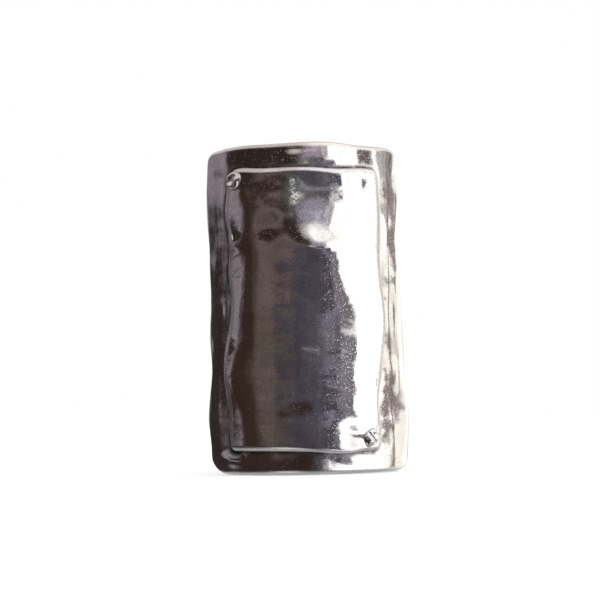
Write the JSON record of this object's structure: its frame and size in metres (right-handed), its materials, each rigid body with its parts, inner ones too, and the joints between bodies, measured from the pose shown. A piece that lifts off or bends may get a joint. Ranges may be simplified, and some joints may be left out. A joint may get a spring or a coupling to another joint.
{
  "type": "plate ring",
  "caption": "Long hammered silver finger ring: a curved base plate with a smaller overlay plate riveted on it, carried on a plain round band.",
  "frame": {"origin": "centre of the finger bore, at half the height of the band and close to half the height of the plates", "axes": "+Z along the finger and the plates' long side, the plates face -Y, +X to the right seen from the front"},
  "size_m": [0.0214, 0.0219, 0.0354],
  "materials": {
    "base_silver": "polished sterling silver, softly hammered",
    "overlay_silver": "polished sterling silver, softly hammered",
    "rivet_silver": "polished sterling silver, hammered heads",
    "band_silver": "polished sterling silver",
    "solder": "silver solder, slightly duller and yellower"
  },
  "bodies": {
    "root": {"base_plate": "base_silver", "overlay_plate": "overlay_silver", "rivet_upper_left": "rivet_silver", "rivet_lower_right": "rivet_silver", "ring_band": "band_silver", "solder_seam_upper": "solder", "solder_seam_lower": "solder"}
  },
  "joints": []
}
